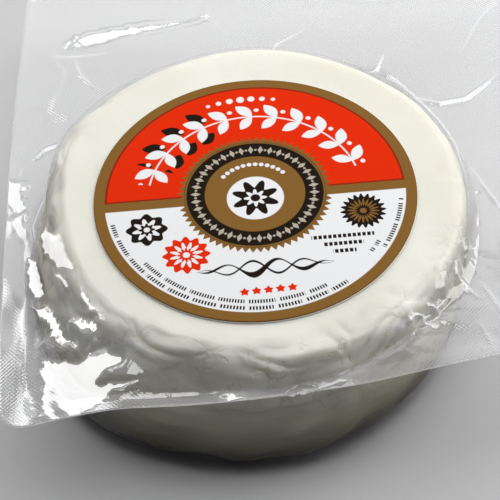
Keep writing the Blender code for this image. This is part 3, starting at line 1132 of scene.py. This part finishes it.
def cheese_inset(points, angle, reach):
    """How deep the curd's surface lies inside the wheel's outline."""
    z = points[..., 2]
    arc = (angle[None, :] % TURN) * ARC_RADIUS + np.zeros_like(z)
    side = smooth((reach - 49.0 * MM) / (7.0 * MM))
    under_film = side * smooth((z - 12.0 * MM) / (14.0 * MM))
    sway = swell(arc, z, 24.0 * MM, 46) * 2.5 * MM
    along = (arc + swell(arc, z, 15.0 * MM, 47) * 3.0 * MM) / CURD_STRETCH
    bounds = ((-10.0 * MM, -80.0 * MM), (TURN * ARC_RADIUS / CURD_STRETCH + 10.0 * MM, 80.0 * MM))
    down = 0.6 * reach - z + sway
    curd = 1.0 - crumple(along, down, CURD_SIZE, bounds, 43)
    fine_curd = 1.0 - crumple(along * 1.6, down * 1.6, CURD_SIZE, bounds, 44)
    rough = ROUGH_LEAST + (1.0 - ROUGH_LEAST) * smooth(0.65 - 0.75 * np.sin(angle + ROUGH_TURN))
    inset = CURD_DEPTH * under_film * (0.7 * curd ** 2 + 0.3 * fine_curd ** 2)
    inset += np.maximum(0.4 * MM - swell(arc, z * 1.6, 16.0 * MM, 41) * 0.4 * MM, 0.0) * side
    grooves = np.maximum(swell(arc * 0.25, z, 4.5 * MM, 45), 0.0) * 0.22 * MM
    grooves *= side * (1.0 - 0.6 * smooth((z - 24.0 * MM) / (6.0 * MM)))
    return CHEESE_GAP + inset * rough + grooves


def make_cheese():
    points, angle = cheese_points()
    middle = np.array((TOP_LEAN[0] * 0.5, TOP_LEAN[1] * 0.5, 0.5 * WHEEL_HEIGHT))
    reach = np.linalg.norm(points[..., :2] - middle[:2], axis=-1)
    inset = cheese_inset(points, angle, reach)
    radial = points - middle
    radial[..., 2] *= 2.0
    radial /= np.linalg.norm(radial, axis=-1, keepdims=True)
    points -= radial * inset[..., None]
    points[..., 2] = np.clip(points[..., 2], CHEESE_GAP, WHEEL_HEIGHT - CHEESE_GAP)
    cheese = grid_mesh("cheese_wheel", len(points), CHEESE_COLUMNS)
    wrap_grid(cheese, points)
    cheese.data.materials.append(cheese_finish())
    return cheese


def make_label():
    """The round paper label, a thin sheet with a softly bevelled edge."""
    bpy.ops.mesh.primitive_cone_add(
        vertices=256, radius1=LABEL_RADIUS, radius2=LABEL_RADIUS - LABEL_TAPER,
        depth=LABEL_TOP - FILM_TOP, location=(*LABEL_CENTRE, 0.5 * (LABEL_TOP + FILM_TOP)))
    label = bpy.context.object
    label.name = "label_sheet"
    bpy.ops.object.transform_apply()
    bevel = label.modifiers.new("soft_edge", "BEVEL")
    bevel.width = 0.06 * MM
    bevel.segments = 2
    bpy.ops.object.modifier_apply(modifier=bevel.name)
    label.data.materials.append(print_finish())
    return label


def floor_and_lights():
    bpy.ops.mesh.primitive_plane_add(size=6.0)
    floor = bpy.context.object
    floor.name = "pale_floor"
    floor.data.materials.append(floor_finish())
    for box in SOFTBOXES:
        softbox(*box)
    world = bpy.data.worlds.new("studio")
    world.use_nodes = True
    background = world.node_tree.nodes["Background"]
    background.inputs["Color"].default_value = (*SKY_COLOUR, 1.0)
    background.inputs["Strength"].default_value = SKY_STRENGTH
    bpy.context.scene.world = world


def softbox(name, azimuth, elevation, distance, size, power):
    """A rectangular soft light that faces the wheel."""
    turn, rise = math.radians(azimuth), math.radians(elevation)
    towards = Vector((math.cos(turn) * math.cos(rise), math.sin(turn) * math.cos(rise), math.sin(rise)))
    bpy.ops.object.light_add(type="AREA", location=towards * distance)
    lamp = bpy.context.object
    lamp.name = name
    lamp.rotation_euler = towards.to_track_quat("Z", "Y").to_euler()
    lamp.data.shape = "RECTANGLE"
    lamp.data.size, lamp.data.size_y = size
    lamp.data.energy = power


def make_camera():
    """The camera looks down at the label from the front, a little turned and rolled."""
    yaw, pitch = (math.atan2(offset, FOCAL_PIXELS) for offset in LOOK_OFFSET_PIXELS)
    level = Matrix.Rotation(0.5 * math.pi - CAMERA_ELEVATION, 4, "X")
    spot = Vector((*LABEL_CENTRE, LABEL_TOP)) + level @ Vector((0.0, 0.0, CAMERA_DISTANCE))
    turned = level @ Matrix.Rotation(yaw, 4, "Y") @ Matrix.Rotation(-pitch, 4, "X")
    bpy.ops.object.camera_add()
    camera = bpy.context.object
    camera.name = "photo_camera"
    camera.matrix_world = Matrix.Translation(spot) @ turned @ Matrix.Rotation(-CAMERA_ROLL, 4, "Z")
    camera.data.lens = FOCAL_PIXELS * SENSOR / FRAME_PIXELS
    camera.data.sensor_width = SENSOR
    camera.data.clip_start = 0.01
    bpy.context.scene.camera = camera


def attach(piece, node):
    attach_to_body(piece, "root")
    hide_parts(node)


make_camera()
attach(make_cheese(), "sealed_pouch")
attach(make_film(), "sealed_pouch")
attach(make_label(), "label")
floor_and_lights()
bpy.context.scene.view_settings.view_transform = "Standard"
